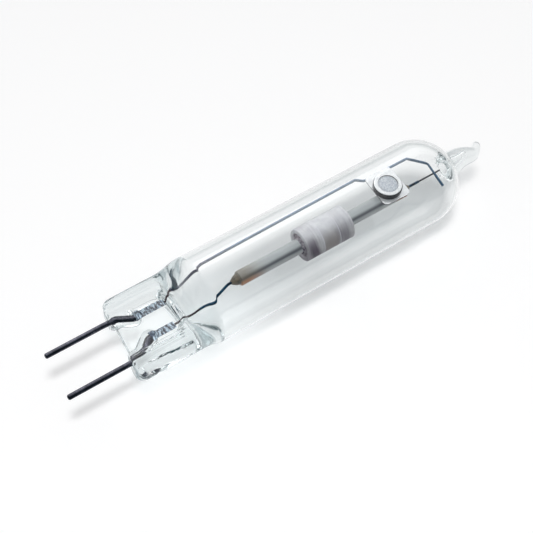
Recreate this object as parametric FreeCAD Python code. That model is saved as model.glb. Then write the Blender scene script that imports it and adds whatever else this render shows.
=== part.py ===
import FreeCAD, Part
import math
import os

# Single-ended metal halide lamp with a ceramic arc tube, lying on its clear quartz bulb.
# Millimetres. The lamp's axis is X: the two contact pins point towards -X and the sealed
# exhaust tip towards +X. The origin lies on that axis, just in front of the place where the near
# pin enters the pinch's slanted end face.

V = FreeCAD.Vector
X_AXIS = V(1, 0, 0)
Z_AXIS = V(0, 0, 1)
ORIGIN = V(0, 0, 0)

# Quartz bulb: tube, dome and exhaust tip
bulb_diameter = 15.0
bulb_wall = 1.1
tube_start_x = 15.2
dome_centre_x = 58.5
tip_base_diameter = 4.56
tip_blend_width = 0.7
tip_blend_sag = 0.25
exhaust_bore_diameter = 1.5
exhaust_bore_end_diameter = 0.4
exhaust_bore_length = 5.0
tip_hook_angle = 34.0
# The drawn-out tip from its base: distance along the axis, shift to the hooked side, diameter
tip_outline = (
    (1.3, 0.2, 4.0),
    (2.8, 0.24, 3.52),
    (4.4, -0.04, 2.92),
    (5.25, -0.21, 2.3),
    (5.95, 0.2, 2.2),
    (6.5, 0.53, 1.78),
    (6.9, 0.64, 1.0),
    (7.04, 0.66, 0.4),
)

# Pinch: two thick beads with a thin web between them
bead_diameter = 4.0
bead_spacing = 11.8
web_thickness = 1.7
web_setback = 0.5
pocket_end_x = 10.6
pocket_corner_radius = 2.4
shoulder_start_x = 10.9
pinch_edge_radius = 0.7
pinch_end_slant = 7.7
pinch_end_x = 0.15
pin_rib_diameter = 2.6
cavity_floor_x = 11.45
cavity_slot_width = 7.4
cavity_slot_height = 1.0
shoulder_corner_angle = 34.0
round_end_angle = 80.0
shoulder_sections = 6
shoulder_crown = 0.04
pin_rib_bend_radius = 1.56
cavity_slot_corner = 0.45

# Contact pins
pin_diameter = 0.9
pin_spacing = 8.5
pin_a_length = 9.9
pin_b_length = 10.75
pin_tip_radius = 0.28
pin_straight_x = 2.3
pin_lean = 0.08
pin_kink_end_x = 4.8
pin_end_x = 6.0
pin_bend_radius = 1.2

# Molybdenum foils sealed in the web
foil_width = 1.4
foil_thickness = 0.05
foil_a_y = 2.65
foil_b_y = -2.05
foil_a_end_x = 10.6
foil_b_end_x = 9.4
foil_lap = 1.0
foil_ripple_height = 0.07
foil_ripple_pitch = 0.62
foil_ripple_margin = 0.35

# Leads inside the bulb
inner_lead_diameter = 0.4
lead_a_exit_x = 11.2
lead_a_weld_x = 12.6
lead_a_weld_y = 3.45
lead_a_weld_z = 0.6
lead_weld_straight = 0.7
lead_b_exit_x = 12.5
lead_b_exit_y = -2.15
lead_b_weld_x = 14.15
lead_b_weld_y = -2.0
lead_bend_radius = 0.8
frame_wire_diameter = 0.46
frame_plane_tilt = 20.0
frame_side_clearance = 1.55
frame_side_start_x = 18.2
frame_bow_clearance = 1.1
frame_step_x = 49.4
frame_step_length = 1.3
frame_getter_clearance = 1.97
frame_top_bend_length = 2.8
crossbar_clearance = 2.2
crossbar_shoulder_radius = 1.9
crossbar_overhang = 2.8
frame_step_bend_radius = 0.6

# Arc tube of translucent alumina
arc_tube_diameter = 5.7
arc_tube_wall_share = 0.114
arc_tube_x = 34.45
arc_tube_length = 9.3
arc_tube_edge = 0.15
plug_lower_thickness = 2.5
plug_upper_thickness = 2.0
plug_recess = 0.35
plug_collar_length = 0.6
plug_collar_width = 0.6
capillary_share = 0.4386
capillary_bore = 0.75
capillary_lower_end_x = 22.3
capillary_upper_end_x = 56.2
capillary_edge = 0.15

# Frit seals and feedthroughs
frit_lower_cone_length = 1.3
frit_upper_cone_length = 0.95
frit_base_setback = 0.1
frit_neck_diameter = 0.8
frit_depth = 2.3
feedthrough_diameter = 0.45
feedthrough_lower_bend_x = 15.7
feedthrough_lower_bend_y = -1.7
feedthrough_axis_x = 20.4
feedthrough_bend_radius = 1.6
feedthrough_upper_end_x = 59.4
top_wire_diameter = 0.28
top_wire_clearance = 0.7

# Electrodes inside the arc tube
spacer_coil_diameter = 0.7
spacer_coil_length = 8.2
electrode_diameter = 0.3
electrode_reach = 0.7
electrode_coil_wire = 0.16
electrode_coil_turns = 3
electrode_coil_setback = 0.12
dose_diameter = 2.2
dose_thickness = 0.28

# Getter on the frame wire
getter_x = 53.35
getter_plate_length = 5.44
getter_plate_width = 6.4
getter_plate_thickness = 0.15
getter_plate_corner = 0.9
getter_plate_overlap = 0.22
getter_tilt = 8.0
getter_yaw = 1.9
getter_cup_diameter = 5.0
getter_cup_height = 1.05
getter_cup_sheet = 0.16
getter_cup_edge_radius = 0.3
getter_well_diameter = 3.5
getter_cup_shift_x = -0.25
getter_cup_shift_y = -0.3
getter_fill_height = 0.7
getter_fill_crown = 0.1
getter_fill_edge = 0.3


def rotated(shape, base, axis, angle):
    """A copy of the shape, turned about an axis."""
    turned = shape.copy()
    turned.rotate(base, axis, angle)
    return turned


def arc_edge(first, middle, last):
    return Part.Arc(first, middle, last).toShape()


def line_edge(first, last):
    return Part.LineSegment(first, last).toShape()


def rod(diameter, start_x, end_x):
    """A plain rod on the lamp's axis."""
    return Part.makeCylinder(diameter / 2, end_x - start_x, V(start_x, 0, 0), X_AXIS)


def turned_about_x(outline):
    """A solid of revolution about the lamp's axis, from a closed list of (x, radius) points."""
    points = [V(x, 0, radius) for x, radius in outline]
    profile = Part.Face(Part.makePolygon(points + points[:1]))
    return profile.revolve(ORIGIN, X_AXIS, 360)


def bent_path(points, radius):
    """A wire of straight runs joined by tangent arcs of one radius."""
    edges = []
    start = points[0]
    for before, corner, after in zip(points, points[1:], points[2:]):
        incoming = (corner - before).normalize()
        outgoing = (after - corner).normalize()
        turn = incoming.getAngle(outgoing)
        cut = radius * math.tan(turn / 2)
        arc_start = corner - incoming * cut
        arc_end = corner + outgoing * cut
        inward = (outgoing - incoming).normalize()
        centre = corner + inward * (radius / math.cos(turn / 2))
        arc_middle = centre - inward * radius
        edges.append(line_edge(start, arc_start))
        edges.append(arc_edge(arc_start, arc_middle, arc_end))
        start = arc_end
    edges.append(line_edge(start, points[-1]))
    return Part.Wire(edges)


def bent_wire(points, diameter, radius):
    """A round wire along straight runs and tangent bends."""
    path = bent_path(points, radius)
    direction = (points[1] - points[0]).normalize()
    section = Part.Wire(Part.makeCircle(diameter / 2, points[0], direction))
    return path.makePipeShell([section], True, True)


def oval_section(x, half_width, half_height, corner_y, corner_z):
    """A closed outline of four arcs in the plane at x."""
    right_top = V(x, corner_y, corner_z)
    right_low = V(x, corner_y, -corner_z)
    left_top = V(x, -corner_y, corner_z)
    left_low = V(x, -corner_y, -corner_z)
    return Part.Wire([
        arc_edge(right_low, V(x, half_width, 0), right_top),
        arc_edge(right_top, V(x, 0, half_height), left_top),
        arc_edge(left_top, V(x, -half_width, 0), left_low),
        arc_edge(left_low, V(x, 0, -half_height), right_low),
    ])


def flat_to_round(start_x, end_x, flat, radius):
    """A loft that swells from a flat oval (half width, half height, corner) to a circle."""
    angle = math.radians(shoulder_corner_angle)
    round_form = (radius, radius, radius * math.cos(angle), radius * math.sin(angle))
    sections = []
    for step in range(shoulder_sections):
        share = step / (shoulder_sections - 1)
        swell = share * share * (3 - 2 * share)
        form = [a + (b - a) * swell for a, b in zip(flat, round_form)]
        sections.append(oval_section(start_x + (end_x - start_x) * share, *form))
    return Part.makeLoft(sections, True, False)


def frame_point(x, radius):
    """A point of the frame wire: a distance out from the lamp's axis in the frame's tilted plane."""
    tilt = math.radians(frame_plane_tilt)
    outward = V(0, math.cos(tilt), math.sin(tilt))
    normal = V(0, -math.sin(tilt), math.cos(tilt))
    lift = (frame_wire_diameter + top_wire_diameter) / 2
    return V(x, 0, 0) + outward * radius + normal * lift


# Shared places worked out from the sizes
bulb_radius = bulb_diameter / 2
cavity_radius = bulb_radius - bulb_wall
cavity_end_x = dome_centre_x + cavity_radius
bead_radius = bead_diameter / 2
bead_y = bead_spacing / 2
pin_y = pin_spacing / 2
arc_tube_wall = arc_tube_diameter * arc_tube_wall_share
capillary_diameter = arc_tube_diameter * capillary_share
frit_base_diameter = capillary_diameter - 2 * frit_base_setback
plug_lower_outer_x = arc_tube_x + plug_recess
plug_lower_inner_x = plug_lower_outer_x + plug_lower_thickness
plug_upper_outer_x = arc_tube_x + arc_tube_length - plug_recess
plug_upper_inner_x = plug_upper_outer_x - plug_upper_thickness
feedthrough_lower_end_x = capillary_lower_end_x + frit_depth
feedthrough_upper_start_x = capillary_upper_end_x - frit_depth
frame_side_radius = cavity_radius - frame_side_clearance
frame_bow_radius = cavity_radius - frame_bow_clearance
frame_getter_radius = cavity_radius - frame_getter_clearance
crossbar_x = cavity_end_x - crossbar_clearance
frame_top_bend_x = crossbar_x - frame_top_bend_length
top_wire_end_x = cavity_end_x - top_wire_clearance
lead_a_weld = V(lead_a_weld_x, lead_a_weld_y, lead_a_weld_z)
lead_b_weld = V(lead_b_weld_x, lead_b_weld_y, 0)
frame_bend_point = frame_point(frame_side_start_x, frame_side_radius)
frame_weld_direction = (frame_bend_point - lead_a_weld).normalize()
feedthrough_bend_point = V(feedthrough_lower_bend_x, feedthrough_lower_bend_y, 0)
feedthrough_weld_direction = (feedthrough_bend_point - lead_b_weld).normalize()


def pin_points(side, inner_y, outer_x):
    """The route of a contact pin: side is -1 or 1.

    It leans in a little from the glass's end face on, then kinks towards its foil.
    """
    return [
        V(outer_x, side * pin_y, 0),
        V(0, side * pin_y, 0),
        V(pin_straight_x, side * (pin_y - pin_lean), 0),
        V(pin_kink_end_x, inner_y, 0),
        V(pin_end_x, inner_y, 0),
    ]


def pin_nose(side, start_x):
    """The outer end of a pin, with its rounded rim."""
    radius = pin_diameter / 2
    flat = radius - pin_tip_radius
    slant = pin_tip_radius * math.sqrt(0.5)
    profile = Part.Wire([
        line_edge(V(start_x, 0, 0), V(start_x, 0, flat)),
        arc_edge(V(start_x, 0, flat), V(start_x + pin_tip_radius - slant, 0, flat + slant),
                 V(start_x + pin_tip_radius, 0, radius)),
        line_edge(V(start_x + pin_tip_radius, 0, radius), V(start_x + pin_diameter, 0, radius)),
        line_edge(V(start_x + pin_diameter, 0, radius), V(start_x + pin_diameter, 0, 0)),
        line_edge(V(start_x + pin_diameter, 0, 0), V(start_x, 0, 0)),
    ])
    nose = Part.Face(profile).revolve(ORIGIN, X_AXIS, 360)
    nose.translate(V(0, side * pin_y, 0))
    return nose


def make_contact_pin(side, inner_y, length):
    shank = bent_wire(pin_points(side, inner_y, pin_diameter - length), pin_diameter, pin_bend_radius)
    pin = shank.fuse(pin_nose(side, -length))
    return pin.cut(lap_cut(pin_end_x - foil_lap, pin_end_x, inner_y, pin_diameter))


def lap_cut(start_x, end_x, y, diameter):
    """Removes the upper half of a wire's end, so that a foil lies flat on it."""
    return Part.makeBox(end_x - start_x, 2 * diameter, diameter, V(start_x, y - diameter, 0))


def make_foil(y, end_x):
    """A ribbon with flat laps at both ends and folded ripples between them."""
    start_x = pin_end_x - foil_lap
    ripple_start = pin_end_x + foil_ripple_margin
    ripple_end = end_x - foil_lap
    folds = 2 * round((ripple_end - ripple_start) / foil_ripple_pitch)
    step = (ripple_end - ripple_start) / folds
    middle = [(start_x, 0), (ripple_start, 0)]
    for fold in range(folds):
        swing = 1 if fold % 2 else -1
        middle.append((ripple_start + (fold + 0.5) * step, swing * foil_ripple_height))
    middle += [(ripple_end, 0), (end_x, 0)]
    lower = [V(x, y - foil_width / 2, z) for x, z in middle]
    upper = [point + Z_AXIS * foil_thickness for point in reversed(lower)]
    side = Part.Face(Part.makePolygon(lower + upper + lower[:1]))
    return side.extrude(V(0, foil_width, 0))


def make_inner_lead_a():
    """From its foil up to the weld with the long frame wire."""
    start_x = foil_a_end_x - foil_lap
    points = [
        V(start_x, foil_a_y, 0),
        V(lead_a_exit_x, foil_a_y, 0),
        lead_a_weld - frame_weld_direction * lead_weld_straight,
        lead_a_weld,
    ]
    lead = bent_wire(points, inner_lead_diameter, inner_lead_diameter)
    return lead.cut(lap_cut(start_x, foil_a_end_x, foil_a_y, inner_lead_diameter))


def make_inner_lead_b():
    """From its foil to the weld with the lower feedthrough."""
    start_x = foil_b_end_x - foil_lap
    points = [
        V(start_x, foil_b_y, 0),
        V(foil_b_end_x + foil_lap, foil_b_y, 0),
        V(lead_b_exit_x, lead_b_exit_y, 0),
        lead_b_weld - feedthrough_weld_direction * lead_weld_straight,
        lead_b_weld,
    ]
    lead = bent_wire(points, inner_lead_diameter, lead_bend_radius)
    return lead.cut(lap_cut(start_x, foil_b_end_x, foil_b_y, inner_lead_diameter))


def make_frame_wire():
    """The long wire beside the arc tube, stepped in at the getter and crossed over the top wire."""
    side = [
        lead_a_weld,
        frame_bend_point,
        frame_point(frame_step_x, frame_bow_radius),
    ]
    step_end = frame_point(frame_step_x + frame_step_length, frame_getter_radius)
    top = [
        step_end,
        frame_point(frame_top_bend_x, frame_getter_radius),
        frame_point(crossbar_x, crossbar_shoulder_radius),
        frame_point(crossbar_x, -crossbar_overhang),
    ]
    return bent_wire(side + top, frame_wire_diameter, frame_step_bend_radius)


def make_feedthrough_lower():
    points = [
        lead_b_weld,
        feedthrough_bend_point,
        V(feedthrough_axis_x, 0, 0),
        V(feedthrough_lower_end_x, 0, 0),
    ]
    return bent_wire(points, feedthrough_diameter, feedthrough_bend_radius)


def make_arc_tube_wall():
    return tube_with_edges(arc_tube_diameter, arc_tube_diameter - 2 * arc_tube_wall, arc_tube_x,
                           arc_tube_x + arc_tube_length, arc_tube_edge)


def tube_with_edges(outer_diameter, bore, start_x, end_x, edge):
    """A tube on the lamp's axis whose outer rims are broken by a small bevel."""
    outer = outer_diameter / 2
    return turned_about_x([
        (start_x, bore / 2),
        (start_x, outer - edge),
        (start_x + edge, outer),
        (end_x - edge, outer),
        (end_x, outer - edge),
        (end_x, bore / 2),
    ])


def make_end_plug(outer_x, inner_x):
    """A disc sintered into the arc tube, with a conical collar round the capillary outside."""
    outward = math.copysign(1, outer_x - inner_x)
    hole = capillary_diameter / 2
    rim = arc_tube_diameter / 2 - arc_tube_wall
    return turned_about_x([
        (inner_x, hole),
        (inner_x, rim),
        (outer_x, rim),
        (outer_x, hole + plug_collar_width),
        (outer_x + outward * plug_collar_length, hole + plug_collar_width / 4),
        (outer_x + outward * plug_collar_length, hole),
    ])


def make_capillary(start_x, end_x):
    return tube_with_edges(capillary_diameter, capillary_bore, start_x, end_x, capillary_edge)


def make_frit_seal(end_x, outward, cone_length):
    """Glass frit that fills the capillary's mouth round the feedthrough and stands out as a cone."""
    hole = feedthrough_diameter / 2
    return turned_about_x([
        (end_x - outward * frit_depth, hole),
        (end_x - outward * frit_depth, capillary_bore / 2),
        (end_x, capillary_bore / 2),
        (end_x, frit_base_diameter / 2 - capillary_edge),
        (end_x + outward * cone_length / 2, (frit_base_diameter + frit_neck_diameter) / 4),
        (end_x + outward * cone_length, frit_neck_diameter / 2),
        (end_x + outward * cone_length, hole),
    ])


def make_electrode_coil(tip_x, inward):
    """The close turns of wire round the electrode behind its tip, as rings that touch."""
    inner = electrode_diameter / 2
    outline = []
    for turn in range(electrode_coil_turns):
        x = tip_x + inward * (electrode_coil_setback + turn * electrode_coil_wire)
        outline.append((x, inner + electrode_coil_wire / 2))
        outline.append((x + inward * electrode_coil_wire / 2, inner + electrode_coil_wire))
    far_x = tip_x + inward * (electrode_coil_setback + electrode_coil_turns * electrode_coil_wire)
    near_x = tip_x + inward * electrode_coil_setback
    outline += [(far_x, inner + electrode_coil_wire / 2), (far_x, inner), (near_x, inner)]
    return turned_about_x(outline)


def make_halide_dose():
    """The condensed salts: a lens that lies on the arc tube's inner wall."""
    inner = arc_tube_diameter - 2 * arc_tube_wall
    middle_x = (plug_lower_inner_x + plug_upper_inner_x) / 2
    bore = rod(inner, plug_lower_inner_x, plug_upper_inner_x)
    pool = Part.makeCylinder(dose_diameter / 2, dose_thickness, V(middle_x, 0, -inner / 2))
    return bore.common(pool)


def rounded_plate(length, width, thickness, corner):
    """A flat plate centred on the origin, its lower face at z = 0."""
    plate = Part.makeBox(length, width, thickness, V(-length / 2, -width / 2, 0))
    uprights = [edge for edge in plate.Edges if edge.BoundBox.ZLength > thickness / 2]
    return plate.makeFillet(corner, uprights)


def cup_section():
    """Half the section of the stamped cup: skirt, flat rim, and a well in the middle."""
    sheet = getter_cup_sheet
    outer = getter_cup_diameter / 2
    well = getter_well_diameter / 2
    top = getter_cup_height
    edge = getter_cup_edge_radius
    slant = edge * math.sqrt(0.5)
    return Part.Wire([
        line_edge(V(0, 0, 0), V(well + sheet, 0, 0)),
        line_edge(V(well + sheet, 0, 0), V(well + sheet, 0, top - sheet)),
        line_edge(V(well + sheet, 0, top - sheet), V(outer - sheet, 0, top - sheet)),
        line_edge(V(outer - sheet, 0, top - sheet), V(outer - sheet, 0, 0)),
        line_edge(V(outer - sheet, 0, 0), V(outer, 0, 0)),
        line_edge(V(outer, 0, 0), V(outer, 0, top - edge)),
        arc_edge(V(outer, 0, top - edge), V(outer - edge + slant, 0, top - edge + slant),
                 V(outer - edge, 0, top)),
        line_edge(V(outer - edge, 0, top), V(well, 0, top)),
        line_edge(V(well, 0, top), V(well, 0, sheet)),
        line_edge(V(well, 0, sheet), V(0, 0, sheet)),
        line_edge(V(0, 0, sheet), V(0, 0, 0)),
    ])


def fill_section():
    """Half the section of the pressed powder, which stands a little proud inside its worn edge."""
    floor = getter_cup_sheet
    top = floor + getter_fill_height
    well = getter_well_diameter / 2
    summit = top + getter_fill_crown
    return Part.makePolygon([
        V(0, 0, floor),
        V(well, 0, floor),
        V(well, 0, top),
        V(well - getter_fill_edge, 0, summit),
        V(0, 0, summit),
        V(0, 0, floor),
    ])


def on_frame_wire(shape):
    """Seats a getter piece, drawn flat over the origin, on the frame wire."""
    wire = frame_point(getter_x, frame_getter_radius)
    reach = getter_plate_width / 2 - getter_plate_overlap
    seated = rotated(shape, ORIGIN, Z_AXIS, -getter_yaw)
    seated.translate(V(0, -reach, frame_wire_diameter / 2))
    seated.rotate(ORIGIN, X_AXIS, getter_tilt)
    seated.translate(wire)
    return seated


def make_getter():
    plate = rounded_plate(getter_plate_length, getter_plate_width, getter_plate_thickness,
                          getter_plate_corner)
    cup_place = V(getter_cup_shift_x, getter_cup_shift_y, getter_plate_thickness)
    cup = Part.Face(cup_section()).revolve(ORIGIN, Z_AXIS, 360)
    cup.translate(cup_place)
    powder = Part.Face(fill_section()).revolve(ORIGIN, Z_AXIS, 360)
    powder.translate(cup_place)
    return [on_frame_wire(piece) for piece in (plate, cup, powder)]


def pinch_outline():
    """Half width, half height and corner place of the oval round both beads."""
    return (bead_y + bead_radius, bead_radius + shoulder_crown, bead_y, bead_radius)


def pinch_solid():
    """The beads with the recessed web between them, before the metal is sealed in."""
    stadium = oval_section(-bead_radius, *pinch_outline())
    block = Part.Face(stadium).extrude(V(shoulder_start_x + bead_radius, 0, 0))
    block = block.cut(ahead_of_end(pinch_edge_radius * 2))
    for side in (1, -1):
        block = block.fuse(bead_end(side))
    pocket = pocket_solid()
    block = block.cut(pocket).cut(rotated(pocket, ORIGIN, X_AXIS, 180))
    notch = Part.makeBox(bead_diameter * 2, 2 * web_corner_y(), bead_diameter,
                         V(-bead_diameter, -web_corner_y(), -bead_radius))
    return block.cut(notch.common(ahead_of_end(web_setback)))


def bead_end(side):
    """One bead, with its rounded end on the pinch's slanted end face."""
    bead = Part.makeCylinder(bead_radius, shoulder_start_x, V(-bead_radius, side * bead_y, 0), X_AXIS)
    bead = bead.cut(ahead_of_end(0))
    rim = [
        edge for edge in bead.Edges
        if edge.BoundBox.XMax < shoulder_start_x / 2 and edge.BoundBox.ZLength > bead_radius
        and edge.BoundBox.YLength > bead_radius
    ]
    return bead.makeFillet(pinch_edge_radius, rim)


def ahead_of_end(setback):
    """All the space in front of the slanted end face, or of a plane behind it."""
    space = Part.makeBox(bulb_diameter, bulb_diameter * 2, bulb_diameter,
                         V(-bulb_diameter, -bulb_diameter, -bulb_radius))
    space = rotated(space, ORIGIN, Z_AXIS, -pinch_end_slant)
    space.translate(V(pinch_end_x + setback, -pin_y, 0))
    return space


def web_corner_y():
    """Where the web's flat face meets the round bead."""
    return bead_y - math.sqrt(bead_radius ** 2 - (web_thickness / 2) ** 2)


def pocket_solid():
    """The space above the web: straight along the beads, and rounded in plan at the shoulder."""
    low = web_thickness / 2
    corner = web_corner_y()
    high = bead_radius * 1.5
    mid_angle = (math.pi / 2 + math.pi - math.asin(low / bead_radius)) / 2
    mid_y = bead_y + bead_radius * math.cos(mid_angle)
    mid_z = bead_radius * math.sin(mid_angle)
    start_x = -bead_radius
    outline = Part.Wire([
        line_edge(V(start_x, -corner, low), V(start_x, corner, low)),
        arc_edge(V(start_x, corner, low), V(start_x, mid_y, mid_z), V(start_x, bead_y, bead_radius)),
        line_edge(V(start_x, bead_y, bead_radius), V(start_x, bead_y, high)),
        line_edge(V(start_x, bead_y, high), V(start_x, -bead_y, high)),
        line_edge(V(start_x, -bead_y, high), V(start_x, -bead_y, bead_radius)),
        arc_edge(V(start_x, -bead_y, bead_radius), V(start_x, -mid_y, mid_z), V(start_x, -corner, low)),
    ])
    trough = Part.Face(outline).extrude(V(pocket_end_x - start_x, 0, 0))
    plan = Part.makeBox(pocket_end_x - start_x, 2 * bead_y, high, V(start_x, -bead_y, 0))
    far_uprights = [
        edge for edge in plan.Edges
        if edge.BoundBox.ZLength > high / 2 and edge.BoundBox.XMin > pocket_end_x - web_setback
    ]
    return trough.common(plan.makeFillet(pocket_corner_radius, far_uprights))


def round_end(centre, direction, diameter):
    """Half a ball, with a small flat on its pole, that closes a round bar."""
    return Part.makeSphere(diameter / 2, centre, direction, 0, round_end_angle, 360)


def pin_rib(side, inner_y):
    """The rounded rib of glass that the jaws leave over each pin."""
    points = pin_points(side, inner_y, 0)[1:4]
    rib = bent_wire(points, pin_rib_diameter, pin_rib_bend_radius)
    return rib.fuse(round_end(points[2], points[2] - points[1], pin_rib_diameter))


def dome_and_tube():
    """The straight tube, the domed end and the flare into the exhaust tip."""
    flare_start = tip_base_diameter / 2 + tip_blend_width
    flare_x = dome_centre_x + math.sqrt(bulb_radius ** 2 - flare_start ** 2)
    tip_x = tip_start_x()
    slant = bulb_radius * math.sqrt(0.5)
    flare_middle = V((flare_x * 2 + tip_x) / 3, 0, tip_base_diameter / 2 + tip_blend_sag)
    profile = Part.Wire([
        line_edge(V(tube_start_x, 0, 0), V(tube_start_x, 0, bulb_radius)),
        line_edge(V(tube_start_x, 0, bulb_radius), V(dome_centre_x, 0, bulb_radius)),
        arc_edge(V(dome_centre_x, 0, bulb_radius), V(dome_centre_x + slant, 0, slant),
                 V(flare_x, 0, flare_start)),
        arc_edge(V(flare_x, 0, flare_start), flare_middle, V(tip_x, 0, tip_base_diameter / 2)),
        line_edge(V(tip_x, 0, tip_base_diameter / 2), V(tip_x, 0, 0)),
        line_edge(V(tip_x, 0, 0), V(tube_start_x, 0, 0)),
    ])
    return Part.Face(profile).revolve(ORIGIN, X_AXIS, 360)


def tip_start_x():
    """Where the exhaust tip's taper leaves the dome's flare."""
    return dome_centre_x + bulb_radius + tip_blend_width / 2


def exhaust_tip():
    """The sealed stub of the exhaust tube: a taper that is bent over to one side at its end."""
    start_x = tip_start_x()
    angle = math.radians(tip_hook_angle)
    sideways = V(0, math.cos(angle), math.sin(angle))
    wires = []
    for along, shift, diameter in ((0, 0, tip_base_diameter),) + tip_outline:
        centre = V(start_x + along, 0, 0) + sideways * shift
        wires.append(Part.Wire(Part.makeCircle(diameter / 2, centre, X_AXIS)))
    return Part.makeLoft(wires, True, False)


def cavity_solid():
    """The sealed space inside the bulb, down to the flat slot at the pinch."""
    slot_height = cavity_slot_height / 2
    slot_width = cavity_slot_width / 2
    slot = (slot_width, slot_height, slot_width - slot_height, cavity_slot_corner)
    round_x = tube_start_x + bulb_wall / 4
    throat = flat_to_round(cavity_floor_x, round_x, slot, cavity_radius)
    bore_end_x = cavity_end_x + exhaust_bore_length
    bore_start = exhaust_bore_diameter / 2
    bore_end = exhaust_bore_end_diameter / 2
    slant = cavity_radius * math.sqrt(0.5)
    pole_x = dome_centre_x + math.sqrt(cavity_radius ** 2 - bore_start ** 2)
    profile = Part.Wire([
        line_edge(V(round_x, 0, 0), V(round_x, 0, cavity_radius)),
        line_edge(V(round_x, 0, cavity_radius), V(dome_centre_x, 0, cavity_radius)),
        arc_edge(V(dome_centre_x, 0, cavity_radius), V(dome_centre_x + slant, 0, slant),
                 V(pole_x, 0, bore_start)),
        line_edge(V(pole_x, 0, bore_start), V(bore_end_x, 0, bore_end)),
        line_edge(V(bore_end_x, 0, bore_end), V(bore_end_x, 0, 0)),
        line_edge(V(bore_end_x, 0, 0), V(round_x, 0, 0)),
    ])
    return throat.fuse(Part.Face(profile).revolve(ORIGIN, X_AXIS, 360))


def make_outer_bulb(sealed_metal):
    """The one-piece quartz bulb, with the metal sealed into its pinch."""
    shoulder = flat_to_round(shoulder_start_x, tube_start_x, pinch_outline(), bulb_radius)
    ribs = [pin_rib(1, foil_a_y), pin_rib(-1, foil_b_y)]
    glass = pinch_solid().multiFuse([shoulder, dome_and_tube(), exhaust_tip()] + ribs)
    glass = glass.cut(ahead_of_end(0)).cut(cavity_solid())
    for metal in sealed_metal:
        glass = glass.cut(metal)
    return glass


def build():
    """All pieces of the lamp, by name."""
    parts = {}
    parts["contact_pin_a"] = make_contact_pin(1, foil_a_y, pin_a_length)
    parts["contact_pin_b"] = make_contact_pin(-1, foil_b_y, pin_b_length)
    parts["pinch_foil_a"] = make_foil(foil_a_y, foil_a_end_x)
    parts["pinch_foil_b"] = make_foil(foil_b_y, foil_b_end_x)
    parts["inner_lead_a"] = make_inner_lead_a()
    parts["inner_lead_b"] = make_inner_lead_b()
    parts["outer_bulb"] = make_outer_bulb([parts[name] for name in sorted(parts)])
    parts["frame_wire"] = make_frame_wire()
    parts["feedthrough_lower"] = make_feedthrough_lower()
    parts["feedthrough_upper"] = rod(feedthrough_diameter, feedthrough_upper_start_x,
                                     feedthrough_upper_end_x)
    parts["top_wire"] = rod(top_wire_diameter, feedthrough_upper_end_x, top_wire_end_x)
    parts["arc_tube_wall"] = make_arc_tube_wall()
    parts["end_plug_lower"] = make_end_plug(plug_lower_outer_x, plug_lower_inner_x)
    parts["end_plug_upper"] = make_end_plug(plug_upper_outer_x, plug_upper_inner_x)
    parts["capillary_lower"] = make_capillary(capillary_lower_end_x, plug_lower_inner_x)
    parts["capillary_upper"] = make_capillary(plug_upper_inner_x, capillary_upper_end_x)
    parts["frit_seal_lower"] = make_frit_seal(capillary_lower_end_x, -1, frit_lower_cone_length)
    parts["frit_seal_upper"] = make_frit_seal(capillary_upper_end_x, 1, frit_upper_cone_length)
    spacer_lower_end = feedthrough_lower_end_x + spacer_coil_length
    spacer_upper_end = feedthrough_upper_start_x - spacer_coil_length
    parts["spacer_coil_lower"] = rod(spacer_coil_diameter, feedthrough_lower_end_x, spacer_lower_end)
    parts["spacer_coil_upper"] = rod(spacer_coil_diameter, spacer_upper_end, feedthrough_upper_start_x)
    tip_lower = plug_lower_inner_x + electrode_reach
    tip_upper = plug_upper_inner_x - electrode_reach
    parts["electrode_lower"] = rod(electrode_diameter, spacer_lower_end, tip_lower)
    parts["electrode_upper"] = rod(electrode_diameter, tip_upper, spacer_upper_end)
    parts["electrode_coil_lower"] = make_electrode_coil(tip_lower, -1)
    parts["electrode_coil_upper"] = make_electrode_coil(tip_upper, 1)
    parts["halide_dose"] = make_halide_dose()
    plate, cup, powder = make_getter()
    parts["getter_plate"] = plate
    parts["getter_cup"] = cup
    parts["getter_powder"] = powder
    return parts


def main():
    os.makedirs("parts", exist_ok=True)
    for name, shape in build().items():
        solids = shape.Solids
        print(name, "solids", len(solids), "valid", shape.isValid(), "volume", round(shape.Volume, 3))
        shape = solids[0] if len(solids) == 1 else shape
        shape.exportStep(os.path.join("parts", name + ".step"))


main()
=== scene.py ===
import bmesh
import bpy
import math
import numpy as np
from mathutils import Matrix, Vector


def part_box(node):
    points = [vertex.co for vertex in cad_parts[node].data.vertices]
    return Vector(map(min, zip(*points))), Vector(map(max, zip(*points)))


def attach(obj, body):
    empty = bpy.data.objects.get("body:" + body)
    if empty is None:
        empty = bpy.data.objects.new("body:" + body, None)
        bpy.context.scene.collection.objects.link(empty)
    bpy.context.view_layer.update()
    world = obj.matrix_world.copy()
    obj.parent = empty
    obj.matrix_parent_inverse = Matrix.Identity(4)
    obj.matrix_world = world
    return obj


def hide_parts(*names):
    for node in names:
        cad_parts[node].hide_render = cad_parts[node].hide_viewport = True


bl_info = {
    "name": "Ceramic metal halide lamp",
    "version": (1, 0, 0),
    "blender": (4, 5, 0),
    "location": "3D View > Sidebar > Lamp",
    "description": "Dresses a bi-pin discharge lamp: quartz bulb, sealed metals, ceramic burner and getter",
    "category": "Add Mesh",
}

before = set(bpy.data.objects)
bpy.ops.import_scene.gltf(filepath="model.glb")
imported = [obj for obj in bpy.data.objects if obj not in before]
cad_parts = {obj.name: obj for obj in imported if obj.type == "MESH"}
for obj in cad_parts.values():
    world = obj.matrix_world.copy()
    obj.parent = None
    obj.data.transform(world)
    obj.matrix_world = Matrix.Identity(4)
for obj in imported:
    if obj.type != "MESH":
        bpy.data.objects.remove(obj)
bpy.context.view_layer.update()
MM = 0.001
BULB_LOW, BULB_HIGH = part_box("outer_bulb")
FLOOR_Z = BULB_LOW[2]
# The way across the floor to the lamp's near side, where the room is dark
NEAR_SIDE = (-0.573, -0.819)


# Sizes and colours

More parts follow.
